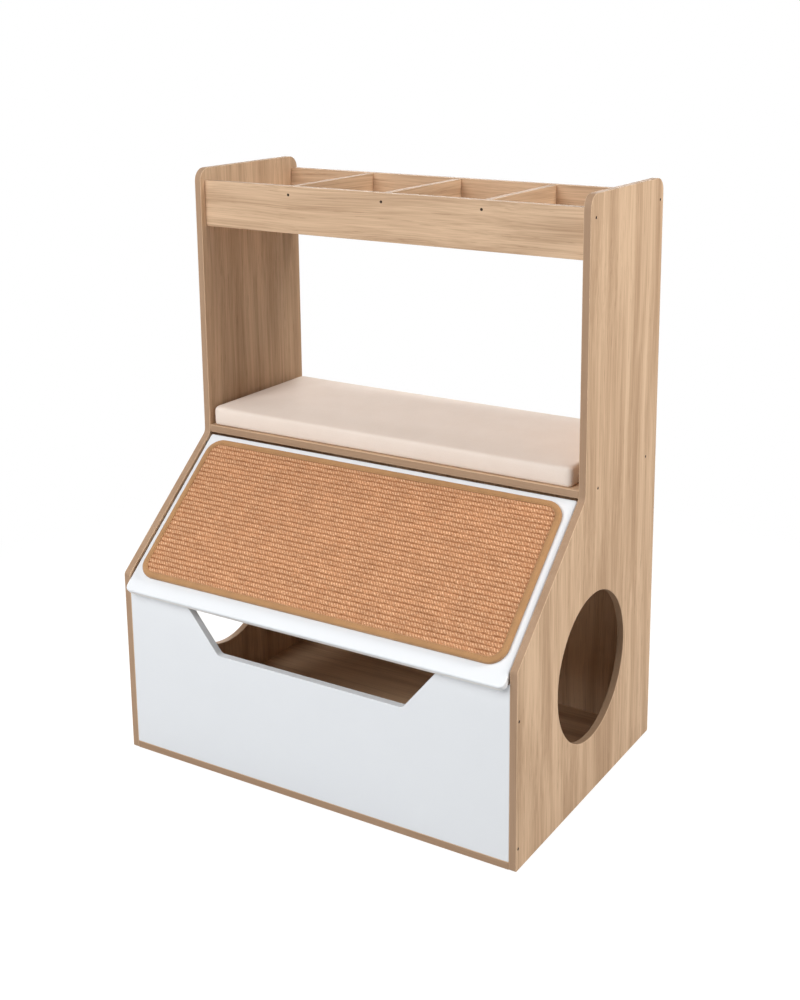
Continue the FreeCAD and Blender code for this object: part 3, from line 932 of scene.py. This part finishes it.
def sew_seams(piece, low, high, cushion):
    """Presses a fine groove along the seams and marks it for the finish."""
    mesh = piece.data
    marks = mesh.attributes.new("seam", "FLOAT", "POINT")
    normals = [vertex.normal.copy() for vertex in mesh.vertices]
    for place, vertex in enumerate(mesh.vertices):
        gap = seam_gap(vertex.co, low, high, cushion.corner_radius)
        mark = 1 - smooth_step(gap, 0.0, cushion.seam_width)
        marks.data[place].value = mark
        vertex.co -= normals[place] * cushion.seam_depth * mark
        vertex.co.z = max(vertex.co.z, low.z)


# Operators

class CATHOUSE_OT_dress_oak_boards(bpy.types.Operator):
    """Gives each oak board its own length of laminate"""
    bl_idname = "cathouse.dress_oak_boards"
    bl_label = "Dress oak boards"

    def execute(self, context):
        for node, (grain_axis, thick_axis) in oak_boards.items():
            dress(node, oak_finish(node, grain_axis, thick_axis, context.scene.cat_house_boards))
        return {"FINISHED"}


class CATHOUSE_OT_dress_white_boards(bpy.types.Operator):
    """Gives the front panel and the lid their white laminate"""
    bl_idname = "cathouse.dress_white_boards"
    bl_label = "Dress white boards"

    def execute(self, context):
        boards = context.scene.cat_house_boards
        lid = lid_matrix()
        low, high = lid_span("lid_panel", lid)
        dress("front_panel", white_finish("white_front", boards))
        dress("lid_panel", white_finish("white_lid", boards, lid, high.z - low.z))
        return {"FINISHED"}


class CATHOUSE_OT_fit_hardware(bpy.types.Operator):
    """Finishes the screws, pins, bushes and dowels"""
    bl_idname = "cathouse.fit_hardware"
    bl_label = "Fit hardware"

    def execute(self, context):
        tints = context.scene.cat_house_hardware
        finishes = [
            (screw_nodes, metal_finish("bronzed_screw", tints.screw, rough=0.46, metallic=0.6)),
            (pin_nodes, metal_finish("turned_pin", tints.pin, rough=0.26, metallic=1.0)),
            (bush_nodes, plain_finish("nylon_bush", tints.bush, 0.45, stretch=(500.0, 500.0, 500.0))),
            (dowel_nodes, plain_finish("beech_dowel", tints.dowel, 0.60, stretch=(40.0, 1400.0, 1400.0))),
        ]
        for nodes, finish in finishes:
            for node in nodes:
                dress(node, finish)
        return {"FINISHED"}


class CATHOUSE_OT_weave_scratch_mat(bpy.types.Operator):
    """Weaves the ribbed sisal field on the lid"""
    bl_idname = "cathouse.weave_scratch_mat"
    bl_label = "Weave scratch mat"

    def execute(self, context):
        mat = context.scene.cat_house_mat
        lid = lid_matrix()
        low, high = lid_span("mat_binding", lid)
        finish = sisal_finish(mat, lid, low, high)
        high.z = lid_span("scratch_mat", lid)[1].z
        piece = lid_piece("woven_mat", woven_field, mat, low, high, finish, lid)
        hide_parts("scratch_mat")
        return {"FINISHED"}


class CATHOUSE_OT_bind_scratch_mat(bpy.types.Operator):
    """Sews the tape round the mat"""
    bl_idname = "cathouse.bind_scratch_mat"
    bl_label = "Bind scratch mat"

    def execute(self, context):
        mat = context.scene.cat_house_mat
        lid = lid_matrix()
        low, high = lid_span("mat_binding", lid)
        tape = lid_piece("mat_tape", bound_edge, mat, low, high, tape_finish(mat, lid), lid)
        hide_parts("mat_binding")
        lid_piece("mat_stitches", tape_stitches, mat, low, high, thread_finish(mat), lid)
        return {"FINISHED"}


class CATHOUSE_OT_sew_cushion(bpy.types.Operator):
    """Fills and sews the seat cushion"""
    bl_idname = "cathouse.sew_cushion"
    bl_label = "Sew cushion"

    def execute(self, context):
        cushion = context.scene.cat_house_cushion
        low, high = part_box("seat_cushion")
        inset = Vector((cushion.seam_inset, cushion.seam_inset, 0.0))
        low = low + inset
        high = high - inset - Vector((0.0, 0.0, cushion.crown))

        def make(form):
            pad_form(form, low, high, cushion.corner_radius)

        piece = new_piece("sewn_cushion", make, cushion_finish(cushion), "cushion")
        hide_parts("seat_cushion")
        remesh = piece.modifiers.new("even_grid", "REMESH")
        remesh.mode = "VOXEL"
        remesh.voxel_size = cushion.voxel
        settle_modifiers(piece)
        swell(piece, cushion, low, high)
        finer = piece.modifiers.new("finer_grid", "SUBSURF")
        finer.levels = 1
        finer.render_levels = 1
        settle_modifiers(piece)
        sew_seams(piece, low, high, cushion)
        draw_sides(piece, low, high, cushion)
        for face in piece.data.polygons:
            face.use_smooth = True
        return {"FINISHED"}


class CATHOUSE_OT_set_stage(bpy.types.Operator):
    """Makes the pale floor, the soft light and the camera"""
    bl_idname = "cathouse.set_stage"
    bl_label = "Set stage"

    def execute(self, context):
        stage = context.scene.cat_house_stage
        lay_floor(stage)
        light_room(stage)
        place_camera(stage)
        context.scene.view_settings.view_transform = "Standard"
        return {"FINISHED"}


# Stage

def seen_ray(wire):
    """One for rays that see the stage directly, in a reflection or through glass."""
    path = wire.add("ShaderNodeLightPath").outputs
    first = wire.sum("MAXIMUM", path["Is Camera Ray"], path["Is Glossy Ray"])
    return wire.sum("MAXIMUM", first, path["Is Transmission Ray"])


def lay_floor(stage):
    """A wide pale floor that looks white and keeps a faint shadow."""
    material = bpy.data.materials.new("pale_floor")
    wire = bare_wiring(material)
    plain = wire.add("ShaderNodeBsdfDiffuse", {"Color": stage.floor})
    shaded = wire.add("ShaderNodeBsdfDiffuse", {"Color": shadow_grey})
    glow = wire.add("ShaderNodeEmission", {"Color": pure_white, "Strength": shadow_glow})
    near = wire.add("ShaderNodeAddShader", {0: shaded.outputs[0], 1: glow.outputs[0]})
    far = wire.add("ShaderNodeEmission", {"Color": pure_white, "Strength": 1.0})
    reach = wire.along("LENGTH", object_place(wire)).node.outputs["Value"]
    fade = wire.spread(reach, *shadow_reach)
    white = wire.add("ShaderNodeMixShader", {0: fade, 1: near.outputs[0], 2: far.outputs[0]})
    mixed = wire.add("ShaderNodeMixShader", {0: seen_ray(wire), 1: plain.outputs[0], 2: white.outputs[0]})
    wire.add("ShaderNodeOutputMaterial", {"Surface": mixed.outputs[0]})

    def make(form):
        bmesh.ops.create_grid(form, x_segments=1, y_segments=1, size=stage.floor_size / 2)
        bmesh.ops.translate(form, verts=form.verts, vec=(0.0, 0.0, -floor_drop))

    floor = new_object("floor", make, material)


def light_room(stage):
    """Even daylight, and a wide lamp on each of the four sides."""
    world = bpy.data.worlds.new("white_room")
    bpy.context.scene.world = world
    wire = bare_wiring(world)
    room = wire.add("ShaderNodeBackground", {"Color": sky_light, "Strength": stage.daylight})
    white = wire.add("ShaderNodeBackground", {"Color": pure_white, "Strength": 1.0})
    mixed = wire.add("ShaderNodeMixShader", {0: seen_ray(wire), 1: room.outputs[0], 2: white.outputs[0]})
    wire.add("ShaderNodeOutputWorld", {"Surface": mixed.outputs[0]})
    middle = (cad_low + cad_high) / 2
    # Name, watts, degrees round from the front and up, distance and size in metres, and tint
    lamps = [
        ("front_lamp", stage.front_light, -12.0, 35.0, 3.3, 2.2, cool_light),
        ("side_lamp", stage.side_light, 95.0, 28.0, 3.6, 1.0, warm_light),
        ("left_lamp", stage.left_light, -98.0, 12.0, 3.6, 1.0, warm_light),
        ("back_lamp", stage.back_light, 208.0, 12.0, 3.3, 1.4, warm_light),
    ]
    for name, watts, around, rise, distance, size, tint in lamps:
        turn = math.radians(around)
        lift = math.radians(rise)
        away = Vector((math.sin(turn) * math.cos(lift), -math.cos(turn) * math.cos(lift), math.sin(lift)))
        data = bpy.data.lights.new(name, "AREA")
        data.energy = watts
        data.size = size
        data.color = tint
        lamp = in_scene(name, data)
        lamp.location = middle + away * distance
        lamp.rotation_euler = (-away).to_track_quat("-Z", "Y").to_euler()


def place_camera(stage):
    """The camera at the photograph's viewpoint."""
    width, height = image_size
    data = bpy.data.cameras.new("camera")
    data.lens = stage.camera_lens
    data.sensor_width = film_width
    data.shift_x = (width / 2 - stage.axis_column) / height
    data.shift_y = (stage.axis_row - height / 2) / height
    camera = in_scene("camera", data)
    camera.location = stage.camera_place
    camera.rotation_euler = (math.pi / 2 - stage.camera_dip, 0.0, stage.camera_heading)
    bpy.context.scene.camera = camera


# Panel and registration

class CATHOUSE_PT_sidebar(bpy.types.Panel):
    """Lists the steps that dress the cat house cabinet"""
    bl_idname = "CATHOUSE_PT_sidebar"
    bl_label = "Cat House Cabinet"
    bl_space_type = "VIEW_3D"
    bl_region_type = "UI"
    bl_category = "Cat House"

    def draw(self, context):
        for operator in operators:
            self.layout.operator(operator.bl_idname)
        for name, group in settings.items():
            box = self.layout.box()
            box.label(text=group.__doc__)
            for label in group.__annotations__:
                box.prop(getattr(context.scene, name), label)


settings = {
    "cat_house_boards": CatHouseBoards,
    "cat_house_mat": CatHouseMat,
    "cat_house_cushion": CatHouseCushion,
    "cat_house_hardware": CatHouseHardware,
    "cat_house_stage": CatHouseStage,
}
operators = (
    CATHOUSE_OT_dress_oak_boards,
    CATHOUSE_OT_dress_white_boards,
    CATHOUSE_OT_fit_hardware,
    CATHOUSE_OT_weave_scratch_mat,
    CATHOUSE_OT_bind_scratch_mat,
    CATHOUSE_OT_sew_cushion,
    CATHOUSE_OT_set_stage,
)


def register():
    """Adds the settings, operators and panel."""
    for name, group in settings.items():
        bpy.utils.register_class(group)
        setattr(bpy.types.Scene, name, PointerProperty(type=group))
    for operator in operators:
        bpy.utils.register_class(operator)
    bpy.utils.register_class(CATHOUSE_PT_sidebar)


def unregister():
    """Takes them away again."""
    bpy.utils.unregister_class(CATHOUSE_PT_sidebar)
    for operator in reversed(operators):
        bpy.utils.unregister_class(operator)
    for name, group in reversed(settings.items()):
        delattr(bpy.types.Scene, name)
        bpy.utils.unregister_class(group)


def main():
    """Dresses the whole cabinet."""
    register()
    bpy.ops.cathouse.dress_oak_boards()
    bpy.ops.cathouse.dress_white_boards()
    bpy.ops.cathouse.fit_hardware()
    bpy.ops.cathouse.weave_scratch_mat()
    bpy.ops.cathouse.bind_scratch_mat()
    bpy.ops.cathouse.sew_cushion()
    bpy.ops.cathouse.set_stage()


if __name__ == "__main__":
    main()
